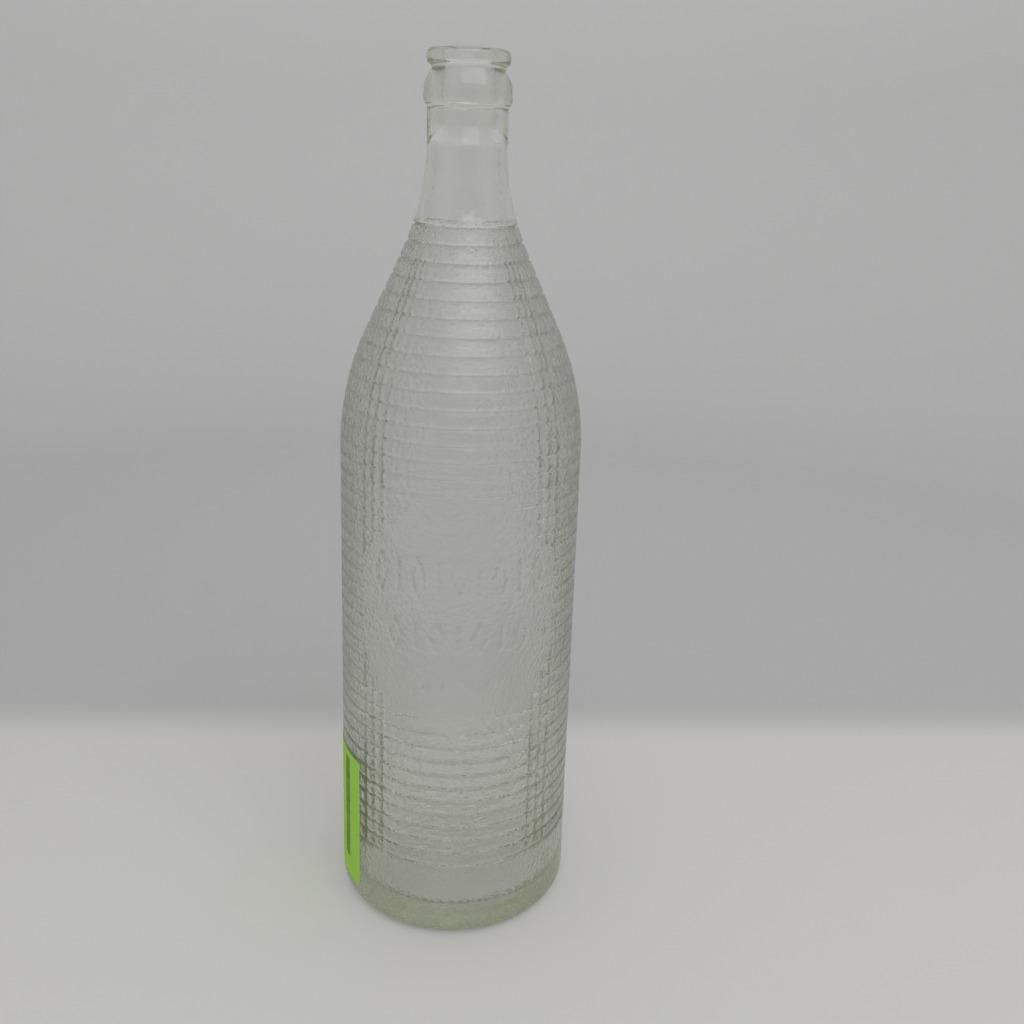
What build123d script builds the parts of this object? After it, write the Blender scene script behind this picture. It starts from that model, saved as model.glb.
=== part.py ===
from build123d import *
import os
from math import asin, cos, degrees, radians, sin, tan

# A quart glass soda bottle with a ribbed body, and the paper price label stuck to its side.
# Millimetres, +Z up. The origin is the centre of the ring that the bottle stands on.
# The middle of the front panel faces -Y. Azimuths are counted from -Y towards +X.

# Overall sizes
HEIGHT = 304.4
HEEL_DIAMETER = 88.0
BODY_TAPER = 3.6
NECK_DIAMETER = 26.0
WALL = 3.4

# Base
HEEL_RADIUS = 6.0
BEARING_RING_WIDTH = 4.5
PUSH_UP_HEIGHT = 5.0
BASE_THICKNESS = 7.5
INNER_HEEL_RADIUS = 9.0
INNER_DOME_HEIGHT = 3.0

# Shoulder: a convex bend, a straight slope and a concave bend into the neck
SHOULDER_SLOPE = 25.2
SHOULDER_BEND_RADIUS = 96.0
NECK_BEND_RADIUS = 82.0
STRAIGHT_NECK_LENGTH = 10.4

# Crown-cork finish at the mouth, from the rim down
MOUTH_BORE_DIAMETER = 16.0
THROAT_LENGTH = 24.0
LIP_DIAMETER = 26.5
LIP_TOP_ROUND = 1.9
LIP_ROUND_LIMIT = 0.45  # the largest share of the lip's width that one of its rounds takes
LIP_LAND_HEIGHT = 1.4
LIP_UNDER_ROUND = 1.3
WAIST_DIAMETER = 23.2
WAIST_DROP = 5.6
RING_PROUD = 1.15
RING_DROP = 12.2
RING_LAND_HEIGHT = 2.4
RING_UNDERCUT_HEIGHT = 1.6

# Ring grooves between the ribs
RIB_PITCH = 5.37
LOWEST_GROOVE = 31.6
PLAIN_NECK_BEND = 25.6
GROOVE_WIDTH = 1.5
GROOVE_DEPTH = 0.7

# Bands of upright flutes
FLUTE_BAND_AZIMUTH = 42.5
FLUTES_PER_BAND = 3
FLUTE_SPACING = 4.4
FLUTE_WIDTH = 1.0
FLUTE_ABOVE_GROOVE = 0.2
GROOVES_ABOVE_FLUTES = 2

# Smooth shield-shaped panel, the same on the front and on the back, from its top down
PANEL_BELOW_SHOULDER = 6.0
PANEL_TOP_HALF_WIDTH = 13.0
PANEL_SPREAD_HEIGHT = 23.5
PANEL_HALF_WIDTH = 32.2
PANEL_SIDE_HEIGHT = 34.0
PANEL_FOOT_HALF_WIDTH = 25.6
PANEL_FOOT_HEIGHT = 17.0
PANEL_CHIN_HALF_WIDTH = 11.8
PANEL_CHIN_HEIGHT = 4.8
PANEL_POINT_HEIGHT = 7.6
PANEL_RELIEF = 0.1

# Raised ornament on each panel: rows of open lozenges and bars, from the top row down.
# Each row has its drop below the panel's top, how many figures, their spacing, width and height.
ORNAMENT_RELIEF = 0.6
ORNAMENT_STROKE = 1.1
BAR_HEIGHT_SHARE = 0.8  # a bar's height as a share of its row's
ARCH_ROW = (8.5, 5, 5.6, 3.6, 4.6)
MAIN_ROW = (27.5, 9, 7.0, 5.6, 15.0)
SECOND_ROW = (48.5, 7, 7.4, 5.6, 11.5)
FOOT_ROW = (66.5, 5, 5.6, 3.6, 5.0)
ARCH_ROW_RISE = 2.4

# Price label
LABEL_WIDTH = 32.0
LABEL_HEIGHT = 54.0
LABEL_THICKNESS = 0.12
LABEL_GLUE_GAP = 0.05
LABEL_EDGE_AZIMUTH = -54.0
LABEL_ABOVE_FLOOR = 8.5

# The meridian of the rib crests, worked out from the sizes above
heel_r = HEEL_DIAMETER / 2
body_top_r = (HEEL_DIAMETER - BODY_TAPER) / 2
neck_r = NECK_DIAMETER / 2
ring_r = neck_r + RING_PROUD
ring_bottom_z = HEIGHT - RING_DROP - RING_LAND_HEIGHT - RING_UNDERCUT_HEIGHT
neck_z = ring_bottom_z - STRAIGHT_NECK_LENGTH
slope = radians(SHOULDER_SLOPE)
slope_width = body_top_r - neck_r - (SHOULDER_BEND_RADIUS + NECK_BEND_RADIUS) * (1 - cos(slope))
slope_top_z = neck_z - NECK_BEND_RADIUS * sin(slope)
slope_bottom_z = slope_top_z - slope_width / tan(slope)
shoulder_z = slope_bottom_z - SHOULDER_BEND_RADIUS * sin(slope)
shoulder_centre_r = body_top_r - SHOULDER_BEND_RADIUS
neck_centre_r = neck_r + NECK_BEND_RADIUS

# The mouth
bore_r = MOUTH_BORE_DIAMETER / 2
lip_r = LIP_DIAMETER / 2
lip_round = min(LIP_TOP_ROUND, (lip_r - bore_r) * LIP_ROUND_LIMIT)


def crest_radius(z):
    """Radius of the rib crests at a height."""
    if z <= shoulder_z:
        return heel_r + (body_top_r - heel_r) * z / shoulder_z
    if z <= slope_bottom_z:
        return shoulder_centre_r + SHOULDER_BEND_RADIUS * cos(asin((z - shoulder_z) / SHOULDER_BEND_RADIUS))
    if z <= slope_top_z:
        return crest_radius(slope_bottom_z) - (z - slope_bottom_z) * tan(slope)
    if z <= neck_z:
        return neck_centre_r - NECK_BEND_RADIUS * cos(asin((neck_z - z) / NECK_BEND_RADIUS))
    return neck_r


def groove_heights():
    """Heights of the ring grooves, from the lowest up to the top of the ribbed zone."""
    ribbed_height = neck_z - PLAIN_NECK_BEND - LOWEST_GROOVE
    count = int(ribbed_height / RIB_PITCH) + 1
    return [LOWEST_GROOVE + RIB_PITCH * k for k in range(count)]


grooves = groove_heights()


def section_face(lines):
    """Face in the XZ plane from lines and arcs in radius and height."""
    edges = [edge for line in lines for edge in line.edges()]
    return Plane.XZ * Face(Wire(edges))


def shoulder_arc(inset):
    """The convex bend, at a depth below the crests, from the body up to the slope."""
    radius = SHOULDER_BEND_RADIUS - inset
    angles = (0, slope / 2, slope)
    points = [(shoulder_centre_r + radius * cos(a), shoulder_z + radius * sin(a)) for a in angles]
    return ThreePointArc(*points)


def neck_arc(inset, bottom_angle):
    """The concave bend, at a depth below the crests, from an angle of slope up to the upright neck."""
    radius = NECK_BEND_RADIUS + inset
    angles = (bottom_angle, bottom_angle / 2, 0)
    points = [(neck_centre_r - radius * cos(a), neck_z - radius * sin(a)) for a in angles]
    return ThreePointArc(*points)


def dome_arc(rim, top):
    """Arc from a rim to the top of a shallow dome that is level on the axis."""
    rise = top[1] - rim[1]
    radius = (rim[0] ** 2 + rise**2) / (2 * rise)
    half_angle = asin(rim[0] / radius) / 2
    middle = (radius * sin(half_angle), top[1] - radius * (1 - cos(half_angle)))
    return ThreePointArc(rim, middle, top)


def ribbed_outline(start):
    """The ribbed wall from the heel up: a V at each groove, and a flat crest between two grooves."""
    points = [start]
    for z in grooves:
        lower = z - GROOVE_WIDTH / 2
        upper = z + GROOVE_WIDTH / 2
        points.append((crest_radius(lower), lower))
        points.append((crest_radius(z) - GROOVE_DEPTH, z))
        points.append((crest_radius(upper), upper))
    return Polyline(*points)


def outer_outline():
    """Outside of the glass from the standing ring up to the neck."""
    heel_start = (heel_r - HEEL_RADIUS, 0)
    heel_end = (crest_radius(HEEL_RADIUS), HEEL_RADIUS)
    top_edge = grooves[-1] + GROOVE_WIDTH / 2
    bend_angle = asin((neck_z - top_edge) / NECK_BEND_RADIUS)
    heel = RadiusArc(heel_start, heel_end, -HEEL_RADIUS)
    return [heel, ribbed_outline(heel_end), neck_arc(0, bend_angle)]


def finish_outline():
    """Neck, reinforcing ring, waist and lip, up to the edge of the bore."""
    ring_top = (ring_r, HEIGHT - RING_DROP)
    land_top_z = HEIGHT - lip_round
    land_bottom_z = land_top_z - LIP_LAND_HEIGHT
    under_lip = (lip_r - LIP_UNDER_ROUND, land_bottom_z - LIP_UNDER_ROUND)
    ring = Polyline(
        (neck_r, neck_z),
        (neck_r, ring_bottom_z),
        ((neck_r + ring_r) / 2, ring_bottom_z),
        (ring_r, ring_bottom_z + RING_UNDERCUT_HEIGHT),
        ring_top,
    )
    waist = Polyline(ring_top, (WAIST_DIAMETER / 2, HEIGHT - WAIST_DROP), under_lip)
    under_round = RadiusArc(under_lip, (lip_r, land_bottom_z), LIP_UNDER_ROUND)
    land = Line((lip_r, land_bottom_z), (lip_r, land_top_z))
    outer_round = RadiusArc((lip_r, land_top_z), (lip_r - lip_round, HEIGHT), -lip_round)
    rim = Line((lip_r - lip_round, HEIGHT), (bore_r + lip_round, HEIGHT))
    bore_round = RadiusArc((bore_r + lip_round, HEIGHT), (bore_r, HEIGHT - lip_round), -lip_round)
    return [ring, waist, under_round, land, outer_round, rim, bore_round]


def cavity_outline():
    """Inside of the glass, from the mouth down to the middle of the floor."""
    throat_bottom = (bore_r, HEIGHT - THROAT_LENGTH)
    corner_top_z = BASE_THICKNESS + INNER_HEEL_RADIUS
    corner_top_r = crest_radius(corner_top_z) - WALL
    floor_rim = (corner_top_r - INNER_HEEL_RADIUS, BASE_THICKNESS)
    throat = Line((bore_r, HEIGHT - lip_round), throat_bottom)
    flare = Line(throat_bottom, (neck_r - WALL, neck_z))
    neck_bend = neck_arc(WALL, slope)
    shoulder_bend = shoulder_arc(WALL)
    cone = Line(shoulder_bend @ 1, neck_bend @ 0)
    wall = Line((corner_top_r, corner_top_z), (body_top_r - WALL, shoulder_z))
    corner = RadiusArc((corner_top_r, corner_top_z), floor_rim, INNER_HEEL_RADIUS)
    floor = dome_arc(floor_rim, (0, BASE_THICKNESS + INNER_DOME_HEIGHT))
    return [throat, flare, neck_bend, cone, shoulder_bend, wall, corner, floor]


def base_outline():
    """Underside: the axis, the push-up dome and the flat ring that the bottle stands on."""
    ring_outer_r = heel_r - HEEL_RADIUS
    ring_inner_r = ring_outer_r - BEARING_RING_WIDTH
    axis_line = Line((0, BASE_THICKNESS + INNER_DOME_HEIGHT), (0, PUSH_UP_HEIGHT))
    push_up = dome_arc((ring_inner_r, 0), (0, PUSH_UP_HEIGHT))
    return [axis_line, push_up, Line((ring_inner_r, 0), (ring_outer_r, 0))]


def ribbed_vessel():
    """The bottle with its ring grooves and its cavity, before panels and flutes."""
    lines = outer_outline() + finish_outline() + cavity_outline() + base_outline()
    return revolve(section_face(lines), Axis.Z, 360)


def crest_sleeve(bottom, top, inner_offset, outer_offset, sweep):
    """Sleeve along the straight body between two offsets from the crests, turned through an angle."""
    outline = Polyline(
        (crest_radius(bottom) + inner_offset, bottom),
        (crest_radius(bottom) + outer_offset, bottom),
        (crest_radius(top) + outer_offset, top),
        (crest_radius(top) + inner_offset, top),
        close=True,
    )
    return revolve(section_face([outline]), Axis.Z, sweep)


def panel_prism():
    """The shield outline of the panels, run right through the bottle from front to back."""
    z = shoulder_z - PANEL_BELOW_SHOULDER
    half = [(PANEL_TOP_HALF_WIDTH, z)]
    steps = (
        (PANEL_HALF_WIDTH, PANEL_SPREAD_HEIGHT),
        (PANEL_HALF_WIDTH, PANEL_SIDE_HEIGHT),
        (PANEL_FOOT_HALF_WIDTH, PANEL_FOOT_HEIGHT),
        (PANEL_CHIN_HALF_WIDTH, PANEL_CHIN_HEIGHT),
        (0, PANEL_POINT_HEIGHT),
    )
    for half_width, drop in steps:
        z -= drop
        half.append((half_width, z))
    mirrored = [(-x, height) for x, height in reversed(half[:-1])]
    shield = section_face([Polyline(*half, *mirrored, close=True)])
    return extrude(shield, HEEL_DIAMETER, both=True)


def smooth_panels(prism):
    """The two panels that fill the grooves, one on the front and one on the back."""
    sleeve = crest_sleeve(LOWEST_GROOVE, shoulder_z, -WALL / 2, PANEL_RELIEF, 360)
    return sleeve & prism


def flute_cutters(prism):
    """Upright grooves on both sides of the front and of the back, clear of the panels."""
    top = grooves[-1 - GROOVES_ABOVE_FLUTES]
    depth = GROOVE_DEPTH - FLUTE_ABOVE_GROOVE
    bottoms = [(crest_radius(z) - depth, z) for z in grooves if z <= top]
    outside = [(heel_r + FLUTE_WIDTH, top), (heel_r + FLUTE_WIDTH, LOWEST_GROOVE)]
    blade = section_face([Polyline(*bottoms, *outside, close=True)])
    cutter = extrude(blade, FLUTE_WIDTH / 2, both=True)
    step = degrees(FLUTE_SPACING / heel_r)
    cutters = []
    front_bands = (-FLUTE_BAND_AZIMUTH, FLUTE_BAND_AZIMUTH)
    back_bands = tuple(180 - band for band in front_bands)
    for middle in front_bands + back_bands:
        for k in range(FLUTES_PER_BAND):
            azimuth = middle + (k - (FLUTES_PER_BAND - 1) / 2) * step
            cutters.append(Rot(0, 0, azimuth - 90) * cutter - prism)
    return cutters


def open_lozenge(width, height):
    """Outline figure of the ornament: a lozenge with an open middle."""
    outer = Polyline((width / 2, 0), (0, height / 2), (-width / 2, 0), (0, -height / 2), close=True)
    shrink = 1 - 2 * ORNAMENT_STROKE / width
    return section_face([outer]) - scale(section_face([outer]), shrink)


def upright_bar(height):
    """Plain figure of the ornament: an upright bar one stroke wide."""
    x = ORNAMENT_STROKE / 2
    z = height / 2
    return section_face([Polyline((-x, -z), (x, -z), (x, z), (-x, z), close=True)])


def ornament_row(row, rise):
    """One row of figures on the front: lozenges and upright bars by turns, with a lozenge at each end."""
    drop, count, spacing, width, height = row
    row_z = shoulder_z - PANEL_BELOW_SHOULDER - drop
    step = degrees(spacing / crest_radius(row_z))
    figures = []
    for k in range(count):
        place = k - (count - 1) / 2
        z = row_z + rise * (1 - (2 * place / count) ** 2)
        if k % 2 == 0:
            figure = open_lozenge(width, height)
        else:
            figure = upright_bar(height * BAR_HEIGHT_SHARE)
        face_r = crest_radius(z) + ORNAMENT_RELIEF
        seated = Pos(0, -face_r, z) * extrude(figure, -WALL / 2)
        figures.append(Rot(0, 0, place * step) * seated)
    return figures


def ornament():
    """All raised figures, on the front panel and again on the back one."""
    front = ornament_row(ARCH_ROW, ARCH_ROW_RISE)
    for row in (MAIN_ROW, SECOND_ROW, FOOT_ROW):
        front += ornament_row(row, 0)
    back = [Rot(0, 0, 180) * figure for figure in front]
    return front + back


def bottle_glass():
    """The whole glass vessel."""
    prism = panel_prism()
    vessel = ribbed_vessel() + smooth_panels(prism)
    vessel = vessel - flute_cutters(prism)
    return vessel + ornament()


def price_label():
    """The paper label, wrapped round the crests on the left of the front."""
    top = LABEL_ABOVE_FLOOR + LABEL_HEIGHT
    sweep = degrees(LABEL_WIDTH / heel_r)
    outer_offset = LABEL_GLUE_GAP + LABEL_THICKNESS
    strip = crest_sleeve(LABEL_ABOVE_FLOOR, top, LABEL_GLUE_GAP, outer_offset, sweep)
    return Rot(0, 0, LABEL_EDGE_AZIMUTH - sweep - 90) * strip


def write_parts():
    """One STEP file for each separate piece."""
    os.makedirs("parts", exist_ok=True)
    pieces = {"bottle_glass": bottle_glass(), "price_label": price_label()}
    for name, piece in pieces.items():
        export_step(piece, f"parts/{name}.step")
        print(name, len(piece.solids()), round(piece.volume / 1000, 2), "cm3", piece.bounding_box())


write_parts()
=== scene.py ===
import math

import bpy
import numpy as np
from mathutils import Matrix, Vector


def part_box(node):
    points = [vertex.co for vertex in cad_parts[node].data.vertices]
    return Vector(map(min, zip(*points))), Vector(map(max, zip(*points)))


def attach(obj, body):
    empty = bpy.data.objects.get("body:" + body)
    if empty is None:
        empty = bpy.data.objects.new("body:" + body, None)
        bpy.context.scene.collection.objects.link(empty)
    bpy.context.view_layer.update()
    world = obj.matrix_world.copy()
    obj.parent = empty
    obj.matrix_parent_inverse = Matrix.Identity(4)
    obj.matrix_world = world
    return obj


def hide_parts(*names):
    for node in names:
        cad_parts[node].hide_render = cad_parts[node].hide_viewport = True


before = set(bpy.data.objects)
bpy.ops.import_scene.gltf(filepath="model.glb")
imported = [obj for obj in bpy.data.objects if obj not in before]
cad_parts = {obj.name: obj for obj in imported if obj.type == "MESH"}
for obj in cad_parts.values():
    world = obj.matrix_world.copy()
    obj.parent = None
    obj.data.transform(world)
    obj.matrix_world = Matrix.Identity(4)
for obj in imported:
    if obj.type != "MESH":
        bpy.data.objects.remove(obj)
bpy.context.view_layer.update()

# Sizes in metres and azimuths in degrees, counted from -Y (the front) towards +X.
MM = 0.001
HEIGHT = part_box("bottle_glass")[1].z
HEEL_R = 43.9 * MM
BODY_TOP_R = 42.2 * MM
NECK_R = 13.0 * MM
WALL = 3.4 * MM

HEEL_RADIUS = 6.0 * MM
BEARING_RING_WIDTH = 4.5 * MM
PUSH_UP_HEIGHT = 5.0 * MM
BASE_THICKNESS = 7.5 * MM
INNER_HEEL_RADIUS = 9.0 * MM
INNER_DOME_HEIGHT = 3.0 * MM

SLOPE = math.radians(25.2)
SHOULDER_BEND_R = 96.0 * MM
NECK_BEND_R = 82.0 * MM

BORE_R = 8.0 * MM
THROAT_LENGTH = 24.0 * MM
LIP_R = 13.25 * MM
LIP_ROUND = 1.9 * MM
LIP_LAND = 1.4 * MM
WAIST_R = 11.6 * MM
WAIST_DROP = 5.6 * MM
RING_R = 14.15 * MM
RING_DROP = 12.2 * MM
RING_LAND = 2.4 * MM
RING_UNDERCUT = 1.6 * MM
STRAIGHT_NECK = 10.4 * MM

RIB_PITCH = 5.37 * MM
RIB_COUNT = 41
LOWEST_GROOVE = 31.6 * MM
RIB_BULGE = 0.10 * MM
GROOVE_CUT = 0.75 * MM
GROOVE_HALF_WIDTH = 0.55 * MM

FLUTE_BAND = 42.5
FLUTE_STEP = 5.73
FLUTE_HALF_ANGLE = 1.1
FLUTE_CUT = 0.5 * MM
CROSSING_CUT = 0.45 * MM
FLUTE_TOP_GROOVE = 39
FLUTE_FADE = 1 * MM

PANEL_TOP_DROP = 6.0 * MM
PANEL_EDGE = 0.35 * MM
SEAM_AZIMUTHS = (-90.0, 90.0)
SEAM_HALF_ANGLE = 0.5
SEAM_PROUD = 0.08 * MM
KNURL_DEPTH = 0.35 * MM
KNURL_REACH = 2.5 * MM
KNURL_TOP = 0.2 * MM
UNEVENNESS = 0.07 * MM

# How pebbled each zone of the outside is, from fire-polished at 0 to fully grained at 1
RIB_GRAIN = 1.0
PANEL_GRAIN = 0.85
HEEL_GRAIN = 0.7
FINISH_GRAIN = 0.08
SMOOTHEST = 0.02
ROUGHEST = 0.21

# The meridian of the rib crests
ring_bottom_z = HEIGHT - RING_DROP - RING_LAND - RING_UNDERCUT
neck_z = ring_bottom_z - STRAIGHT_NECK
slope_width = BODY_TOP_R - NECK_R - (SHOULDER_BEND_R + NECK_BEND_R) * (1 - math.cos(SLOPE))
slope_top_z = neck_z - NECK_BEND_R * math.sin(SLOPE)
slope_bottom_z = slope_top_z - slope_width / math.tan(SLOPE)
shoulder_z = slope_bottom_z - SHOULDER_BEND_R * math.sin(SLOPE)
panel_top_z = shoulder_z - PANEL_TOP_DROP
top_groove_z = LOWEST_GROOVE + RIB_COUNT * RIB_PITCH
flute_top_z = LOWEST_GROOVE + FLUTE_TOP_GROOVE * RIB_PITCH


def meridian(z, inset=0.0):
    """Radius of the smooth wall at heights z, at a depth below the rib crests."""
    z = np.asarray(z, float)
    body = HEEL_R + (BODY_TOP_R - HEEL_R) * z / shoulder_z - inset
    bend_r = SHOULDER_BEND_R - inset
    bend = BODY_TOP_R - SHOULDER_BEND_R + bend_r * np.cos(np.arcsin(np.clip((z - shoulder_z) / bend_r, 0, 1)))
    neck_r = NECK_BEND_R + inset
    neck = NECK_R + NECK_BEND_R - neck_r * np.cos(np.arcsin(np.clip((neck_z - z) / neck_r, 0, 1)))
    start = slope_bottom_z - inset * math.sin(SLOPE)
    start_r = BODY_TOP_R - SHOULDER_BEND_R + bend_r * math.cos(SLOPE)
    cone = start_r - (z - start) * math.tan(SLOPE)
    end = slope_top_z - inset * math.sin(SLOPE)
    return np.where(z < shoulder_z, body, np.where(z < start, bend, np.where(z < end, cone, neck)))


def smooth(x, low, high):
    """0 below low, 1 above high, with a soft step between."""
    t = np.clip((x - low) / (high - low), 0, 1)
    return t * t * (3 - 2 * t)


def turn_apart(a, b):
    """Signed angle from b to a in degrees, between -180 and 180."""
    return (a - b + 180.0) % 360.0 - 180.0


FLUTES = [
    middle + k * FLUTE_STEP
    for middle in (FLUTE_BAND, 180 - FLUTE_BAND, 180 + FLUTE_BAND, 360 - FLUTE_BAND)
    for k in (-1, 0, 1)
]

# Shield outline of a panel, half of it, as (half width, drop below its top) in millimetres
SHIELD_CORNERS = ((0, 0), (13, 0), (32.2, 23.5), (32.2, 57.5), (25.6, 74.5), (11.8, 79.3), (0, 86.9))
SHIELD = [(x * MM, drop * MM) for x, drop in SHIELD_CORNERS]


def shield_inside(x, z):
    """Distance into the shield from its edge, below zero outside it, seen square to the panel."""
    px = np.abs(x)
    pz = panel_top_z - z
    nearest = np.full(px.shape, 1.0)
    within = np.zeros(px.shape, bool)
    for (x0, z0), (x1, z1) in zip(SHIELD[:-1], SHIELD[1:]):
        dx, dz = x1 - x0, z1 - z0
        along = np.clip(((px - x0) * dx + (pz - z0) * dz) / (dx * dx + dz * dz), 0, 1)
        nearest = np.minimum(nearest, np.hypot(px - x0 - along * dx, pz - z0 - along * dz))
        if dz:
            edge_x = x0 + (pz - z0) / dz * dx
            within |= (pz >= z0) & (pz < z1) & (px < edge_x)
    return np.where(within, nearest, -nearest)


# Ornament: rows of lozenges and bars. Each row's drop below the panel's top, its count, spacing,
# width, height and rise in the middle, all in millimetres
ORNAMENT_ROWS = (
    (8.5, 5, 5.6, 3.6, 4.6, 2.4),
    (27.5, 9, 7.0, 5.6, 15.0, 0.0),
    (48.5, 7, 7.4, 5.6, 11.5, 0.0),
    (66.5, 5, 5.6, 3.6, 5.0, 0.0),
)
STROKE_MARGIN = 1.1
BAR_SHARE = 0.8
STROKE_HALF = 0.62 * MM
STROKE_TOP = STROKE_HALF * 0.45
STROKE_FOOT = STROKE_HALF * 1.25
RELIEF = 0.65 * MM


def lozenge(x, z, w, h):
    """Four strokes round a lozenge."""
    return [((x - w / 2, z), (x, z - h / 2)), ((x, z - h / 2), (x + w / 2, z)),
            ((x + w / 2, z), (x, z + h / 2)), ((x, z + h / 2), (x - w / 2, z))]


def bar(x, z, h):
    """One upright stroke."""
    return [((x, z - h / 2), (x, z + h / 2))]


def ornament_row(drop, count, spacing, width, height, rise):
    """Strokes of one row, lozenges and bars by turns, arched up by the rise."""
    strokes = []
    for k in range(count):
        place = k - (count - 1) / 2
        x = place * spacing
        z = drop - rise * (1 - (2 * place / count) ** 2)
        if k % 2 == 0:
            strokes += lozenge(x, z, width - STROKE_MARGIN, height - STROKE_MARGIN)
        else:
            strokes += bar(x, z, height * BAR_SHARE - STROKE_MARGIN)
    return strokes


def ornament_strokes():
    """Every stroke as a segment ((x0, z0), (x1, z1)) in metres, x round the panel and z down it."""
    rows = [stroke for row in ORNAMENT_ROWS for stroke in ornament_row(*row)]
    return [((x0 * MM, z0 * MM), (x1 * MM, z1 * MM)) for (x0, z0), (x1, z1) in rows]


STROKES = ornament_strokes()


def ornament_height(arc, z):
    """Relief of the ornament at a distance round the panel from its middle, and a height."""
    drop = panel_top_z - z
    nearest = np.full(arc.shape, 1.0)
    for (x0, z0), (x1, z1) in STROKES:
        dx, dz = x1 - x0, z1 - z0
        t = np.clip(((arc - x0) * dx + (drop - z0) * dz) / (dx * dx + dz * dz), 0, 1)
        nearest = np.minimum(nearest, np.hypot(arc - x0 - t * dx, drop - z0 - t * dz))
    return RELIEF * (1 - smooth(nearest, STROKE_TOP, STROKE_FOOT))


def ribbed_zone(z):
    """1 between the lowest and the highest groove, falling to 0 just past them."""
    low = smooth(z, LOWEST_GROOVE - GROOVE_HALF_WIDTH, LOWEST_GROOVE - GROOVE_HALF_WIDTH * 0.2)
    high = smooth(z, top_groove_z + GROOVE_HALF_WIDTH * 0.2, top_groove_z + GROOVE_HALF_WIDTH)
    return low * (1 - high)


def groove_weight(z):
    """1 in the bottom of a ring groove and 0 on the ribs beside it."""
    count = (z - LOWEST_GROOVE) / RIB_PITCH
    to_groove = np.abs(count - np.round(count)) * RIB_PITCH
    return np.clip(1 - to_groove / GROOVE_HALF_WIDTH, 0, 1) * ribbed_zone(z)


def flute_weight(azimuth, z):
    """1 in the bottom of an upright flute and 0 beside it."""
    nearest = np.min([np.abs(turn_apart(azimuth, f)) for f in FLUTES], axis=0)
    weight = np.clip(1 - nearest / FLUTE_HALF_ANGLE, 0, 1)
    low = smooth(z, LOWEST_GROOVE, LOWEST_GROOVE + FLUTE_FADE)
    high = smooth(z, flute_top_z, flute_top_z + FLUTE_FADE)
    return weight * low * (1 - high)


def rib_bulge(z):
    """How far a rib falls away from its middle towards the grooves beside it."""
    count = (z - LOWEST_GROOVE) / RIB_PITCH
    across = count - np.floor(count) - 0.5
    return RIB_BULGE * (2 * across) ** 2 * ribbed_zone(z)


def seam_weight(azimuth):
    """1 on a mould seam and 0 beside it."""
    nearest = np.min([np.abs(turn_apart(azimuth, seam)) for seam in SEAM_AZIMUTHS], axis=0)
    return np.clip(1 - nearest / SEAM_HALF_ANGLE, 0, 1)


def outer_radius(azimuth, z):
    """Radius of the outside with all its relief, and how far each point is on a smooth panel."""
    crest = meridian(z)
    groove = groove_weight(z)
    flute = flute_weight(azimuth, z)
    ribbed = -rib_bulge(z) - GROOVE_CUT * groove - FLUTE_CUT * flute - CROSSING_CUT * groove * flute
    front = np.abs(turn_apart(azimuth, 0)) < 90
    turn = np.where(front, turn_apart(azimuth, 0), turn_apart(azimuth, 180))
    inside = shield_inside(crest * np.sin(np.radians(turn)), z)
    mask = smooth(inside, -PANEL_EDGE, PANEL_EDGE)
    arc = np.radians(turn) * crest
    panel = ornament_height(arc, z)
    seam = SEAM_PROUD * seam_weight(azimuth) * (1 - groove)
    return crest + mask * panel + (1 - mask) * ribbed + seam, mask


# Columns of the mesh, as azimuths
MERGE_ANGLE = 0.2
EVEN_COUNT = 96
RIBBED_COUNT = 90
RIBBED_TURN = 2.0
PANEL_REACH = 51.0
PANEL_STEP = 0.86
SIDE_STEP = 4.0


def sorted_columns(*groups):
    """Azimuths in order, with those closer than MERGE_ANGLE merged."""
    every = np.sort(np.concatenate([np.asarray(g, float) % 360.0 for g in groups]))
    kept = [every[0]]
    for a in every[1:]:
        if a - kept[-1] > MERGE_ANGLE:
            kept.append(a)
    if kept[0] + 360 - kept[-1] < MERGE_ANGLE:
        kept.pop()
    return np.array(kept)


def even_columns(count):
    """Azimuths at even steps all the way round."""
    return np.arange(count) * 360.0 / count


def flute_columns():
    """Azimuths of the edges, the flanks and the bottom of every flute."""
    offsets = np.array([-1.0, -0.5, 0.0, 0.5, 1.0]) * FLUTE_HALF_ANGLE
    return np.array([f + o for f in FLUTES for o in offsets])


def panel_columns(middle):
    """Close azimuths across a panel."""
    return np.arange(middle - PANEL_REACH, middle + PANEL_REACH + 0.01, PANEL_STEP)


def side_columns(middle):
    """Wider azimuths between the two panels, from the one at this middle onwards."""
    return np.arange(middle + PANEL_REACH + 4, middle + 180 - PANEL_REACH - 3, SIDE_STEP)


EVEN = even_columns(EVEN_COUNT)
SEAMS = [seam + k * SEAM_HALF_ANGLE for seam in SEAM_AZIMUTHS for k in (-1, 0, 1)]
RIBBED = sorted_columns(flute_columns(), even_columns(RIBBED_COUNT) + RIBBED_TURN, SEAMS)
PANEL = sorted_columns(panel_columns(0), panel_columns(180), side_columns(0), side_columns(180), SEAMS)

# Rows of the mesh across one rib, as shares of the pitch: coarse, and close enough for the ornament
PLAIN_ROWS = (0.0, 0.05, 0.12, 0.3, 0.5, 0.7, 0.88, 0.95)
FINE_ROWS = (0.0, 0.05, 0.11, 0.22, 0.33, 0.44, 0.56, 0.67, 0.78, 0.89, 0.95)


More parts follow.
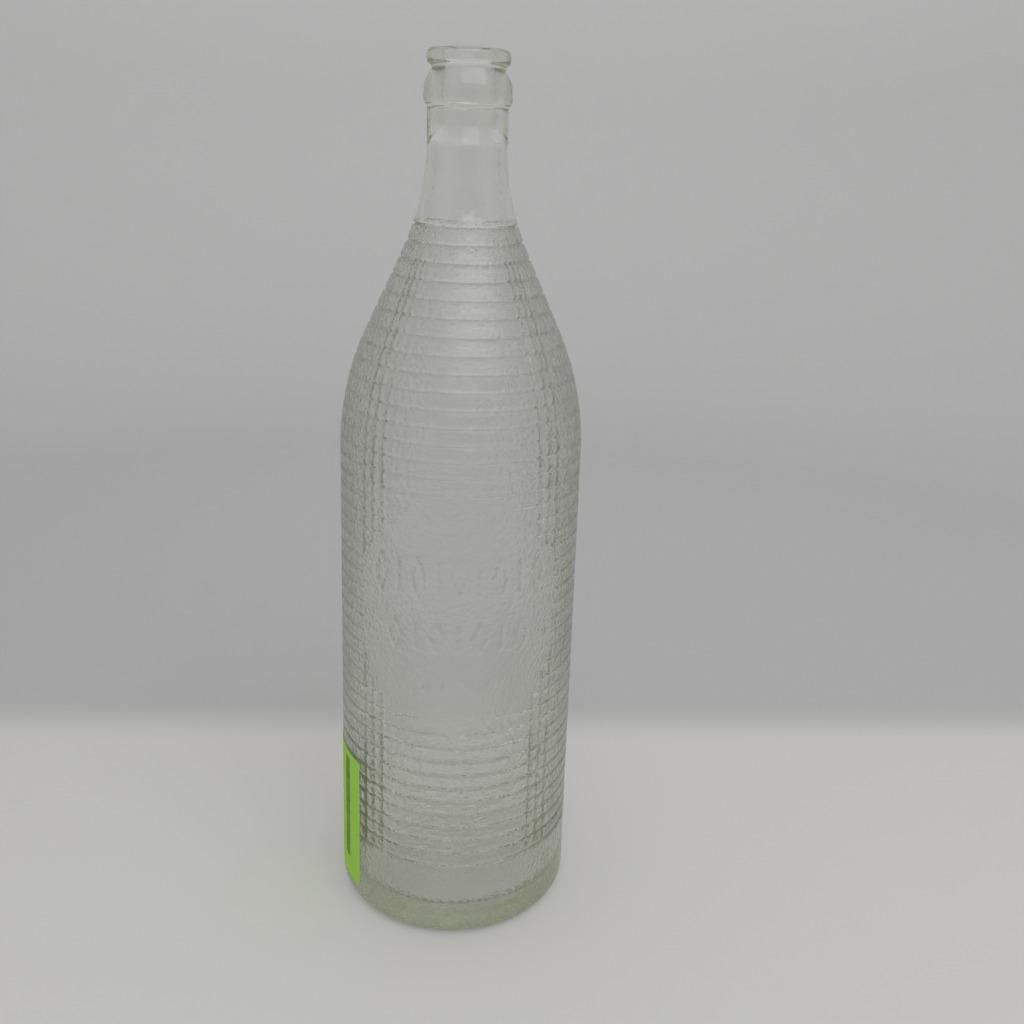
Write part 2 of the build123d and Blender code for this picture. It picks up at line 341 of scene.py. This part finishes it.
class Skin:
    """Rings of vertices joined into one closed skin."""

    def __init__(self):
        self.points = []
        self.grains = []
        self.faces = []
        self.count = 0
        self.last = None
        self.pending = None

    def add(self, columns, radius, z, grain=0.0):
        """Adds a ring of vertices and joins it to the one before."""
        azimuth = np.radians(columns)
        radius = np.broadcast_to(radius, columns.shape)
        height = np.broadcast_to(z, columns.shape)
        self.points.append(np.stack([radius * np.sin(azimuth), -radius * np.cos(azimuth), height], 1))
        self.grains.append(np.broadcast_to(grain, columns.shape))
        ring = (columns, self.count)
        self.count += len(columns)
        if self.last is not None:
            self.join(self.last, ring)
        self.last = ring

    def join(self, low, high):
        """Faces between two rings: quads where their columns match, and triangles where they don't."""
        (ca, a), (cb, b) = low, high
        na, nb = len(ca), len(cb)
        if na == nb and np.allclose(ca, cb):
            i = np.arange(na)
            j = (i + 1) % na
            self.faces += np.stack([a + i, a + j, b + j, b + i], 1).tolist()
            return
        i = j = 0
        while i < na or j < nb:
            next_a = ca[(i + 1) % na] + 360 * ((i + 1) // na)
            next_b = cb[(j + 1) % nb] + 360 * ((j + 1) // nb)
            if j >= nb or (i < na and next_a <= next_b):
                self.faces.append([a + i % na, a + (i + 1) % na, b + j % nb])
                i += 1
            else:
                self.faces.append([a + i % na, b + (j + 1) % nb, b + j % nb])
                j += 1

    def pole(self, z, first):
        """Closes the skin with a point on the axis, before the first ring or after the last."""
        self.points.append(np.array([[0.0, 0.0, z]]))
        self.grains.append(np.zeros(1))
        point = self.count
        self.count += 1
        if first:
            self.pending = point
        else:
            columns, start = self.last
            n = len(columns)
            self.faces += [[start + i, start + (i + 1) % n, point] for i in range(n)]

    def close_first(self, columns, start):
        """Joins the first ring to the pole that was added before it."""
        n = len(columns)
        self.faces += [[start + (i + 1) % n, start + i, self.pending] for i in range(n)]

    def mesh(self, name):
        """The skin as a smooth-shaded mesh, with its grain as an attribute."""
        data = bpy.data.meshes.new(name)
        data.from_pydata(np.concatenate(self.points).tolist(), [], self.faces)
        data.validate()
        layer = data.attributes.new("grain", "FLOAT", "POINT")
        layer.data.foreach_set("value", np.concatenate(self.grains).astype(np.float32))
        data.shade_smooth()
        return data


def arc_points(centre, radius, start, end, count):
    """Points on an arc in radius and height, angles in degrees."""
    angles = np.radians(np.linspace(start, end, count))
    return [(centre[0] + radius * math.cos(a), centre[1] + radius * math.sin(a)) for a in angles]


def rib_rows(first, last, per_rib):
    """Heights of the rows over the ribs from first up to last, at the given shares of each."""
    rows = []
    for k in range(first, last):
        rows += [LOWEST_GROOVE + (k + s) * RIB_PITCH for s in per_rib]
    return rows


def base_rows():
    """Underside from its middle out: push-up dome, standing ring and heel."""
    ring_outer = HEEL_R - HEEL_RADIUS
    ring_inner = ring_outer - BEARING_RING_WIDTH
    dome_r = (ring_inner**2 + PUSH_UP_HEIGHT**2) / (2 * PUSH_UP_HEIGHT)
    half = math.asin(ring_inner / dome_r)
    rows = []
    for t in np.linspace(0.08, 1, 14):
        a = half * t
        rows.append((dome_r * math.sin(a), PUSH_UP_HEIGHT - dome_r * (1 - math.cos(a))))
    rows += [(ring_inner + BEARING_RING_WIDTH * s, 0.0) for s in (0.25, 0.5, 0.75)]
    rows += arc_points((ring_outer, HEEL_RADIUS), HEEL_RADIUS, -90, 0, 12)
    return rows


# Reinforcing ring, as (distance out from the neck or from the ring, rise above its underside) in mm
RING_FOOT = ((0.15, -0.1), (0.6, 0.0))
RING_SIDE = ((-0.35, 0.4), (-0.1, 1.0), (0.0, 1.6), (0.0, 2.6))


def finish_rows():
    """Neck, reinforcing ring, waist, lip and the edge of the bore, from the neck up."""
    rows = [(NECK_R, z) for z in np.linspace(neck_z + 1 * MM, ring_bottom_z - 0.5 * MM, 6)]
    rows += [(NECK_R + out * MM, ring_bottom_z + up * MM) for out, up in RING_FOOT]
    rows += [(RING_R + out * MM, ring_bottom_z + up * MM) for out, up in RING_SIDE]
    ring_top = HEIGHT - RING_DROP
    waist_z = HEIGHT - WAIST_DROP
    rows.append((RING_R - 0.08 * MM, ring_top + 0.25 * MM))
    for t in np.linspace(0.12, 0.94, 7):
        radius = WAIST_R + (RING_R - WAIST_R) * math.cos(math.pi / 2 * t)
        rows.append((radius, ring_top + (waist_z - ring_top) * t))
    rows.append((WAIST_R + 0.04 * MM, waist_z))
    land_top = HEIGHT - LIP_ROUND
    land_bottom = land_top - LIP_LAND
    under = LIP_R - WAIST_R - 0.2 * MM
    rows += arc_points((LIP_R - under, land_bottom), under, -75, 0, 7)
    rows += arc_points((LIP_R - LIP_ROUND, land_top), LIP_ROUND, 0, 90, 7)
    rows += arc_points((BORE_R + LIP_ROUND, land_top), LIP_ROUND, 90, 180, 7)
    return rows


def cavity_rows():
    """Inside of the glass, from the throat down to near the middle of the floor."""
    rows = [(BORE_R, z) for z in np.linspace(HEIGHT - LIP_ROUND - 1.5 * MM, HEIGHT - THROAT_LENGTH, 10)]
    rows.append((NECK_R - WALL, neck_z))
    corner_z = BASE_THICKNESS + INNER_HEEL_RADIUS
    for z in np.linspace(neck_z - 3 * MM, corner_z + 2 * MM, 46):
        rows.append((float(meridian(z, WALL)), z))
    corner_r = float(meridian(corner_z, WALL))
    rows += arc_points((corner_r - INNER_HEEL_RADIUS, corner_z), INNER_HEEL_RADIUS, 0, -90, 12)
    rim = corner_r - INNER_HEEL_RADIUS
    dome_r = (rim**2 + INNER_DOME_HEIGHT**2) / (2 * INNER_DOME_HEIGHT)
    half = math.asin(rim / dome_r)
    for t in np.linspace(0.93, 0.07, 14):
        a = half * t
        rows.append((dome_r * math.sin(a), BASE_THICKNESS + INNER_DOME_HEIGHT - dome_r * (1 - math.cos(a))))
    return rows


def unevenness(azimuth, z):
    """Slow waves of the inside wall."""
    a = np.radians(azimuth)
    wave = np.sin(3 * a + 55 * z) + 0.6 * np.sin(5 * a - 90 * z + 1.3) + 0.5 * np.sin(2 * a + 31 * z + 4.0)
    return wave * UNEVENNESS


def knurl(radius, z):
    """Rise of the short radial notches in the outer half of the standing ring."""
    ring_outer = HEEL_R - HEEL_RADIUS
    if z > KNURL_TOP or abs(radius - ring_outer) > KNURL_REACH:
        return 0.0
    return np.where(np.arange(len(EVEN)) % 2 == 0, KNURL_DEPTH, 0.0)


def glass_mesh():
    """The whole bottle as one closed skin, from under its base, up the outside and down the inside."""
    skin = Skin()
    skin.pole(PUSH_UP_HEIGHT, first=True)
    for k, (r, z) in enumerate(base_rows()):
        skin.add(EVEN, r, z + knurl(r, z), HEEL_GRAIN)
        if k == 0:
            skin.close_first(EVEN, 1)
    for z in np.linspace(HEEL_RADIUS + 3 * MM, LOWEST_GROOVE - 3 * MM, 6):
        skin.add(EVEN, float(meridian(z)), z, HEEL_GRAIN)
    panel_bottom = panel_top_z - SHIELD[-1][1]
    first = int((panel_bottom - LOWEST_GROOVE) / RIB_PITCH)
    last = int((panel_top_z - LOWEST_GROOVE) / RIB_PITCH) + 1
    lead_in = [LOWEST_GROOVE - GROOVE_HALF_WIDTH, LOWEST_GROOVE - GROOVE_HALF_WIDTH * 0.4]
    lead_out = [top_groove_z, top_groove_z + GROOVE_HALF_WIDTH * 0.4, top_groove_z + GROOVE_HALF_WIDTH]
    zones = (
        (RIBBED, lead_in + rib_rows(0, first, PLAIN_ROWS)),
        (PANEL, rib_rows(first, last, FINE_ROWS)),
        (RIBBED, rib_rows(last, RIB_COUNT, PLAIN_ROWS) + lead_out),
    )
    for columns, heights in zones:
        for z in heights:
            radius, mask = outer_radius(columns, np.full(columns.shape, z))
            skin.add(columns, radius, z, RIB_GRAIN + (PANEL_GRAIN - RIB_GRAIN) * mask)
    for z in np.linspace(top_groove_z + 2.2 * MM, neck_z, 10):
        skin.add(EVEN, float(meridian(z)), z, FINISH_GRAIN)
    for r, z in finish_rows():
        skin.add(EVEN, r, z, FINISH_GRAIN)
    for r, z in cavity_rows():
        skin.add(EVEN, r + unevenness(EVEN, z), z)
    skin.pole(BASE_THICKNESS + INNER_DOME_HEIGHT, first=False)
    return skin.mesh("glass_vessel")


def node_tree(name):
    """A material with an empty node tree."""
    material = bpy.data.materials.new(name)
    material.use_nodes = True
    material.node_tree.nodes.clear()
    return material, material.node_tree


def math_node(tree, operation, first, second):
    """A math node; either operand may be a number or another node's output."""
    node = tree.nodes.new("ShaderNodeMath")
    node.operation = operation
    for slot, value in enumerate((first, second)):
        if isinstance(value, (int, float)):
            node.inputs[slot].default_value = value
        else:
            tree.links.new(value, node.inputs[slot])
    return node


# Looks of the glass: a slow wave and a fine pebble as bumps, and a faint tint inside it
GLASS_COLOUR = (1.0, 1.0, 1.0, 1)
GLASS_IOR = 1.5
GLASS_SPECULAR = 0.25
WAVE_SCALE = 60.0
WAVE_STRENGTH = 0.25
WAVE_DISTANCE = 0.002
PEBBLE_SCALE = 650.0
PEBBLE_DETAIL = 2.0
PEBBLE_STRENGTH = 0.8
PEBBLE_DISTANCE = 0.0009
TINT = (0.62, 0.68, 0.40, 1)
TINT_DENSITY = 19.0


def glass_material():
    """Soda glass with a faint olive body, rough and pebbled where the mesh's grain says."""
    material, tree = node_tree("clear_glass")
    nodes, links = tree.nodes, tree.links
    output = nodes.new("ShaderNodeOutputMaterial")
    shader = nodes.new("ShaderNodeBsdfPrincipled")
    shader.inputs["Base Color"].default_value = GLASS_COLOUR
    shader.inputs["Transmission Weight"].default_value = 1.0
    shader.inputs["IOR"].default_value = GLASS_IOR
    shader.inputs["Specular IOR Level"].default_value = GLASS_SPECULAR
    coords = nodes.new("ShaderNodeTexCoord")
    grain = nodes.new("ShaderNodeAttribute")
    grain.attribute_name = "grain"
    rough = nodes.new("ShaderNodeMapRange")
    rough.inputs["To Min"].default_value = SMOOTHEST
    rough.inputs["To Max"].default_value = ROUGHEST
    links.new(grain.outputs["Fac"], rough.inputs["Value"])
    links.new(rough.outputs[0], shader.inputs["Roughness"])
    wave = nodes.new("ShaderNodeTexNoise")
    wave.inputs["Scale"].default_value = WAVE_SCALE
    links.new(coords.outputs["Object"], wave.inputs["Vector"])
    slow = nodes.new("ShaderNodeBump")
    slow.inputs["Strength"].default_value = WAVE_STRENGTH
    slow.inputs["Distance"].default_value = WAVE_DISTANCE
    links.new(wave.outputs["Fac"], slow.inputs["Height"])
    pebble = nodes.new("ShaderNodeTexNoise")
    pebble.inputs["Scale"].default_value = PEBBLE_SCALE
    pebble.inputs["Detail"].default_value = PEBBLE_DETAIL
    links.new(coords.outputs["Object"], pebble.inputs["Vector"])
    cast = math_node(tree, "MULTIPLY", pebble.outputs["Fac"], grain.outputs["Fac"])
    bump = nodes.new("ShaderNodeBump")
    bump.inputs["Strength"].default_value = PEBBLE_STRENGTH
    bump.inputs["Distance"].default_value = PEBBLE_DISTANCE
    links.new(cast.outputs[0], bump.inputs["Height"])
    links.new(bump.outputs["Normal"], slow.inputs["Normal"])
    links.new(slow.outputs["Normal"], shader.inputs["Normal"])
    absorb = nodes.new("ShaderNodeVolumeAbsorption")
    absorb.inputs["Color"].default_value = TINT
    absorb.inputs["Density"].default_value = TINT_DENSITY
    links.new(absorb.outputs[0], output.inputs["Volume"])
    links.new(shader.outputs[0], output.inputs["Surface"])
    return material


# Price label: paper glued round the crests on the left of the front
LABEL_NEAR = -54.0
LABEL_FAR = -95.6
LABEL_BOTTOM = 8.5 * MM
LABEL_TOP = 62.5 * MM
LABEL_BACK = 0.055 * MM
LABEL_FACE = 0.165 * MM
LABEL_CORNER = 1.6 * MM
LABEL_LEAST = 0.05 * MM
LABEL_COLUMNS = 84
LABEL_ROWS = 110
LABEL_HEIGHT = LABEL_TOP - LABEL_BOTTOM
LABEL_WIDTH = math.radians(LABEL_NEAR - LABEL_FAR) * HEEL_R

# Looks of the label. The ink's places are shares of the label's width and height
PAPER_GREEN = (0.36, 0.72, 0.055, 1)
PAPER_LIGHT_GREEN = (0.42, 0.80, 0.08, 1)
PAPER_ROUGHNESS = 0.62
PAPER_SPECULAR = 0.35
FIBRE_SCALE = 900.0
FIBRE_DETAIL = 3.0
FIBRE_STRENGTH = 0.15
FIBRE_DISTANCE = 0.0002
INK_COLOUR = (0.05, 0.09, 0.02, 1)
INK_MIDDLE = 0.33
INK_HALF_WIDTH = 0.075
INK_CENTRE_HEIGHT = 0.55
INK_HALF_HEIGHT = 0.4
INK_BARS = 75.0
INK_THRESHOLD = 0.47


def label_point(u, v, offset):
    """A point of the label, u from its near edge to its far one and v from its bottom to its top."""
    z = LABEL_BOTTOM + LABEL_HEIGHT * v
    from_edge = min(v, 1 - v) * LABEL_HEIGHT
    into_corner = max(0.0, LABEL_CORNER - from_edge)
    short = LABEL_CORNER - math.sqrt(max(0.0, LABEL_CORNER**2 - into_corner**2))
    share = short / LABEL_WIDTH
    azimuth = math.radians(LABEL_NEAR + (LABEL_FAR - LABEL_NEAR) * (share + (1 - 2 * share) * u))
    radius = float(meridian(z)) + offset
    return (radius * math.sin(azimuth), -radius * math.cos(azimuth), z)


def label_sag(z):
    """How far the paper dips between two ribs, as a share of the room that it has."""
    if z < LOWEST_GROOVE - RIB_PITCH:
        return 0.0
    return 0.5 - 0.5 * math.cos(2 * math.pi * ((z - LOWEST_GROOVE) / RIB_PITCH + 0.5))


def add_label_uv(data):
    """Shares of the label's width from its near edge, and of its height from its bottom."""
    layer = data.uv_layers.new(name="paper")
    for loop in data.loops:
        point = data.vertices[loop.vertex_index].co
        turn = turn_apart(math.degrees(math.atan2(point.x, -point.y)), LABEL_NEAR)
        across = -turn * math.radians(1) * HEEL_R / LABEL_WIDTH
        layer.data[loop.index].uv = (across, (point.z - LABEL_BOTTOM) / LABEL_HEIGHT)


def label_mesh():
    """Thin curved sheet with rounded corners, closed all round its edge."""
    verts = []
    room = LABEL_FACE - LABEL_BACK - LABEL_LEAST
    for side in (0, 1):
        for row in range(LABEL_ROWS + 1):
            v = row / LABEL_ROWS
            z = LABEL_BOTTOM + LABEL_HEIGHT * v
            offset = LABEL_FACE - room * label_sag(z) if side else LABEL_BACK
            for column in range(LABEL_COLUMNS + 1):
                verts.append(label_point(column / LABEL_COLUMNS, v, offset))
    across = LABEL_COLUMNS + 1
    layer = across * (LABEL_ROWS + 1)
    faces = []
    for row in range(LABEL_ROWS):
        for column in range(LABEL_COLUMNS):
            a = row * across + column
            faces.append((a, a + 1, a + across + 1, a + across))
            faces.append((layer + a, layer + a + across, layer + a + across + 1, layer + a + 1))
    edge = list(range(across))
    edge += [row * across + LABEL_COLUMNS for row in range(1, LABEL_ROWS + 1)]
    edge += [LABEL_ROWS * across + column for column in reversed(range(LABEL_COLUMNS))]
    edge += [row * across for row in reversed(range(1, LABEL_ROWS))]
    for here, there in zip(edge, edge[1:] + edge[:1]):
        faces.append((here, layer + here, layer + there, there))
    data = bpy.data.meshes.new("price_label_paper")
    data.from_pydata(verts, [], faces)
    data.validate()
    add_label_uv(data)
    data.shade_smooth()
    return data


def ink_mask(tree):
    """Ink of the label: one column of fine plain bars of uneven height."""
    uv = tree.nodes.new("ShaderNodeUVMap")
    uv.uv_map = "paper"
    split = tree.nodes.new("ShaderNodeSeparateXYZ")
    tree.links.new(uv.outputs["UV"], split.inputs[0])
    along = math_node(tree, "MULTIPLY", split.outputs["Y"], INK_BARS)
    bars = tree.nodes.new("ShaderNodeTexNoise")
    bars.noise_dimensions = "1D"
    tree.links.new(along.outputs[0], bars.inputs["W"])
    dark = math_node(tree, "GREATER_THAN", bars.outputs["Fac"], INK_THRESHOLD)
    off = math_node(tree, "SUBTRACT", split.outputs["X"], INK_MIDDLE)
    away = math_node(tree, "ABSOLUTE", off.outputs[0], 0.0)
    inside = math_node(tree, "LESS_THAN", away.outputs[0], INK_HALF_WIDTH)
    up = math_node(tree, "SUBTRACT", split.outputs["Y"], INK_CENTRE_HEIGHT)
    rise = math_node(tree, "ABSOLUTE", up.outputs[0], 0.0)
    tall = math_node(tree, "LESS_THAN", rise.outputs[0], INK_HALF_HEIGHT)
    column = math_node(tree, "MULTIPLY", inside.outputs[0], tall.outputs[0])
    return math_node(tree, "MULTIPLY", column.outputs[0], dark.outputs[0])


def label_material():
    """Bright green paper with a faint fibre and dark ink."""
    material, tree = node_tree("label_paper")
    nodes, links = tree.nodes, tree.links
    output = nodes.new("ShaderNodeOutputMaterial")
    shader = nodes.new("ShaderNodeBsdfPrincipled")
    shader.inputs["Roughness"].default_value = PAPER_ROUGHNESS
    shader.inputs["Specular IOR Level"].default_value = PAPER_SPECULAR
    coords = nodes.new("ShaderNodeTexCoord")
    fibre = nodes.new("ShaderNodeTexNoise")
    fibre.inputs["Scale"].default_value = FIBRE_SCALE
    fibre.inputs["Detail"].default_value = FIBRE_DETAIL
    links.new(coords.outputs["Object"], fibre.inputs["Vector"])
    paper = nodes.new("ShaderNodeMix")
    paper.data_type = "RGBA"
    paper.inputs["A"].default_value = PAPER_GREEN
    paper.inputs["B"].default_value = PAPER_LIGHT_GREEN
    links.new(fibre.outputs["Fac"], paper.inputs["Factor"])
    printed = nodes.new("ShaderNodeMix")
    printed.data_type = "RGBA"
    printed.inputs["B"].default_value = INK_COLOUR
    links.new(paper.outputs["Result"], printed.inputs["A"])
    links.new(ink_mask(tree).outputs[0], printed.inputs["Factor"])
    links.new(printed.outputs["Result"], shader.inputs["Base Color"])
    bump = nodes.new("ShaderNodeBump")
    bump.inputs["Strength"].default_value = FIBRE_STRENGTH
    bump.inputs["Distance"].default_value = FIBRE_DISTANCE
    links.new(fibre.outputs["Fac"], bump.inputs["Height"])
    links.new(bump.outputs["Normal"], shader.inputs["Normal"])
    links.new(shader.outputs[0], output.inputs["Surface"])
    return material


def add_object(name, data, material):
    """An object of one material, in the scene."""
    piece = bpy.data.objects.new(name, data)
    data.materials.append(material)
    bpy.context.scene.collection.objects.link(piece)
    return piece


# Studio round the bottle: a pale board, a backdrop that grows lighter as it rises, and a front painted darker
# as painted shade, standing in for a dim room behind the camera
ROOM_R = 1.0
ROOM_HEIGHT = 0.8
ROOM_BEND = 0.35
ROOM_SEGMENTS = 96
ROOM_ROUGHNESS = 0.8
ROOM_SPECULAR = 0.2
BOARD_EDGE = 0.088
BOARD_BLUR = 0.04
BOARD_COLOUR = (0.73, 0.723, 0.704)
BACKDROP_COLOUR = (0.55, 0.55, 0.55)
HIGH_BACKDROP_COLOUR = (0.76, 0.76, 0.76)
BACKDROP_REACH = ROOM_R + 0.5
# Painted shade: the front of the studio, behind the camera, is coloured darker so that the glass shows dimmer
# reflections
FRONT_SHADE_COLOUR = (0.42, 0.42, 0.42)
FRONT_SHADE_START = -0.45
FRONT_SHADE_END = -0.95

# The fill stands where the lamp does and casts no shadow, to light the floor seen through the glass
SKY_STRENGTH = 0.51
LAMP_POWER = 4.2
FILL_POWER = 3.1
LAMP_PLACE = (0.25, -0.75, 1.05)
LAMP_AIM = (0.0, 0.05, 0.1)
LAMP_SIZE = (1.1, 0.9)
BOUNCES = 32
DIFFUSE_BOUNCES = 8

# Camera: its place in millimetres, its tilt and lens, and how far the bottle is turned from it
FRONT_TURN = 3.5
CAMERA = dict(side=18.78, back=348.4, up=273.75, pitch=19.25, roll=2.15, lens=35.91914)
SENSOR_WIDTH = 36.0
CLIP_START = 0.01


def make_camera():
    """The camera that the photo was matched with."""
    pitch = math.radians(CAMERA["pitch"])
    roll = math.radians(CAMERA["roll"])
    turn = Matrix.Rotation(math.radians(-FRONT_TURN), 3, "Z")
    forward = turn @ Vector((0, math.cos(pitch), -math.sin(pitch)))
    level = turn @ Vector((1, 0, 0))
    upright = level.cross(forward)
    right = math.cos(roll) * level + math.sin(roll) * upright
    up = math.cos(roll) * upright - math.sin(roll) * level
    place = turn @ Vector((CAMERA["side"], -CAMERA["back"], CAMERA["up"])) * MM
    data = bpy.data.cameras.new("camera")
    data.sensor_width = SENSOR_WIDTH
    data.lens = CAMERA["lens"]
    data.clip_start = CLIP_START
    camera = bpy.data.objects.new("camera", data)
    basis = Matrix((right, up, -forward)).transposed().to_4x4()
    camera.matrix_world = Matrix.Translation(place) @ basis
    bpy.context.scene.collection.objects.link(camera)
    bpy.context.scene.camera = camera


def ring_points(radius, z, count):
    """Vertices of a level circle about the axis."""
    angles = [2 * math.pi * k / count for k in range(count)]
    return [(radius * math.sin(a), -radius * math.cos(a), z) for a in angles]


def stage_profile():
    """Radius and height of the studio from the floor's middle, round a wide bend and up the wall."""
    flat = ROOM_R - ROOM_BEND
    rows = [(r, 0.0) for r in (0.05, 0.2, flat)]
    for a in np.radians(np.linspace(6, 90, 15)):
        rows.append((flat + ROOM_BEND * math.sin(a), ROOM_BEND - ROOM_BEND * math.cos(a)))
    return rows + [(ROOM_R, ROOM_HEIGHT)]


def stage_material():
    """Pale board under the bottle, with a soft edge to the darker backdrop paper behind, and painted shade
    darkening the studio's front.
    """
    material, tree = node_tree("pale_board")
    nodes, links = tree.nodes, tree.links
    output = nodes.new("ShaderNodeOutputMaterial")
    shader = nodes.new("ShaderNodeBsdfPrincipled")
    shader.inputs["Roughness"].default_value = ROOM_ROUGHNESS
    shader.inputs["Specular IOR Level"].default_value = ROOM_SPECULAR
    coords = nodes.new("ShaderNodeTexCoord")
    split = nodes.new("ShaderNodeSeparateXYZ")
    links.new(coords.outputs["Object"], split.inputs[0])
    edge = nodes.new("ShaderNodeMapRange")
    edge.interpolation_type = "SMOOTHSTEP"
    edge.inputs["From Min"].default_value = BOARD_EDGE
    edge.inputs["From Max"].default_value = BOARD_EDGE + BOARD_BLUR
    links.new(split.outputs["Y"], edge.inputs["Value"])
    tone = nodes.new("ShaderNodeMix")
    tone.data_type = "RGBA"
    tone.inputs["A"].default_value = (*BOARD_COLOUR, 1)
    reach = math_node(tree, "ADD", split.outputs["Y"], split.outputs["Z"])
    climb = nodes.new("ShaderNodeMapRange")
    climb.inputs["From Min"].default_value = BOARD_EDGE
    climb.inputs["From Max"].default_value = BACKDROP_REACH
    links.new(reach.outputs[0], climb.inputs["Value"])
    paper = nodes.new("ShaderNodeMix")
    paper.data_type = "RGBA"
    paper.inputs["A"].default_value = (*BACKDROP_COLOUR, 1)
    paper.inputs["B"].default_value = (*HIGH_BACKDROP_COLOUR, 1)
    links.new(climb.outputs[0], paper.inputs["Factor"])
    links.new(paper.outputs["Result"], tone.inputs["B"])
    links.new(edge.outputs[0], tone.inputs["Factor"])
    # Painted shade: the colour darkens towards the front of the studio, behind the camera
    front = nodes.new("ShaderNodeMapRange")
    front.interpolation_type = "SMOOTHSTEP"
    front.inputs["From Min"].default_value = FRONT_SHADE_START
    front.inputs["From Max"].default_value = FRONT_SHADE_END
    links.new(split.outputs["Y"], front.inputs["Value"])
    dim = nodes.new("ShaderNodeMix")
    dim.data_type = "RGBA"
    dim.inputs["B"].default_value = (*FRONT_SHADE_COLOUR, 1)
    links.new(front.outputs[0], dim.inputs["Factor"])
    links.new(tone.outputs["Result"], dim.inputs["A"])
    links.new(dim.outputs["Result"], shader.inputs["Base Color"])
    links.new(shader.outputs[0], output.inputs["Surface"])
    return material


def make_stage():
    """Round studio: the floor, and the wall that it rises into all round."""
    count = ROOM_SEGMENTS
    verts = [(0.0, 0.0, 0.0)]
    faces = []
    for k, (radius, z) in enumerate(stage_profile()):
        start = len(verts)
        verts += ring_points(radius, z, count)
        for i in range(count):
            j = (i + 1) % count
            if k == 0:
                faces.append((0, start + i, start + j))
            else:
                faces.append((start - count + i, start + i, start + j, start - count + j))
    data = bpy.data.meshes.new("studio")
    data.from_pydata(verts, [], faces)
    data.shade_smooth()
    studio = add_object("studio", data, stage_material())


def add_light(name, power, shadow):
    """A rectangular lamp at the lamp's place, with or without shadows."""
    data = bpy.data.lights.new(name, "AREA")
    data.shape = "RECTANGLE"
    data.size, data.size_y = LAMP_SIZE
    data.energy = power
    data.use_shadow = shadow
    light = bpy.data.objects.new(name, data)
    light.location = LAMP_PLACE
    light.rotation_euler = (Vector(LAMP_AIM) - Vector(LAMP_PLACE)).to_track_quat("-Z", "Y").to_euler()
    bpy.context.scene.collection.objects.link(light)


def make_light():
    """Even white light all round, the lamp and its fill."""
    world = bpy.data.worlds.new("studio")
    bpy.context.scene.world = world
    world.use_nodes = True
    sky = world.node_tree.nodes["Background"]
    sky.inputs["Color"].default_value = (1, 1, 1, 1)
    sky.inputs["Strength"].default_value = SKY_STRENGTH
    add_light("lamp", LAMP_POWER, True)
    add_light("fill", FILL_POWER, False)


make_camera()
make_stage()
make_light()
scene = bpy.context.scene
scene.view_settings.view_transform = "Standard"
scene.cycles.max_bounces = BOUNCES
scene.cycles.transmission_bounces = BOUNCES
scene.cycles.glossy_bounces = BOUNCES
scene.cycles.diffuse_bounces = DIFFUSE_BOUNCES

glass = add_object("glass_vessel", glass_mesh(), glass_material())
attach(glass, "root")
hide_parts("bottle_glass")

label = add_object("price_label_paper", label_mesh(), label_material())
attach(label, "root")
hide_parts("price_label")
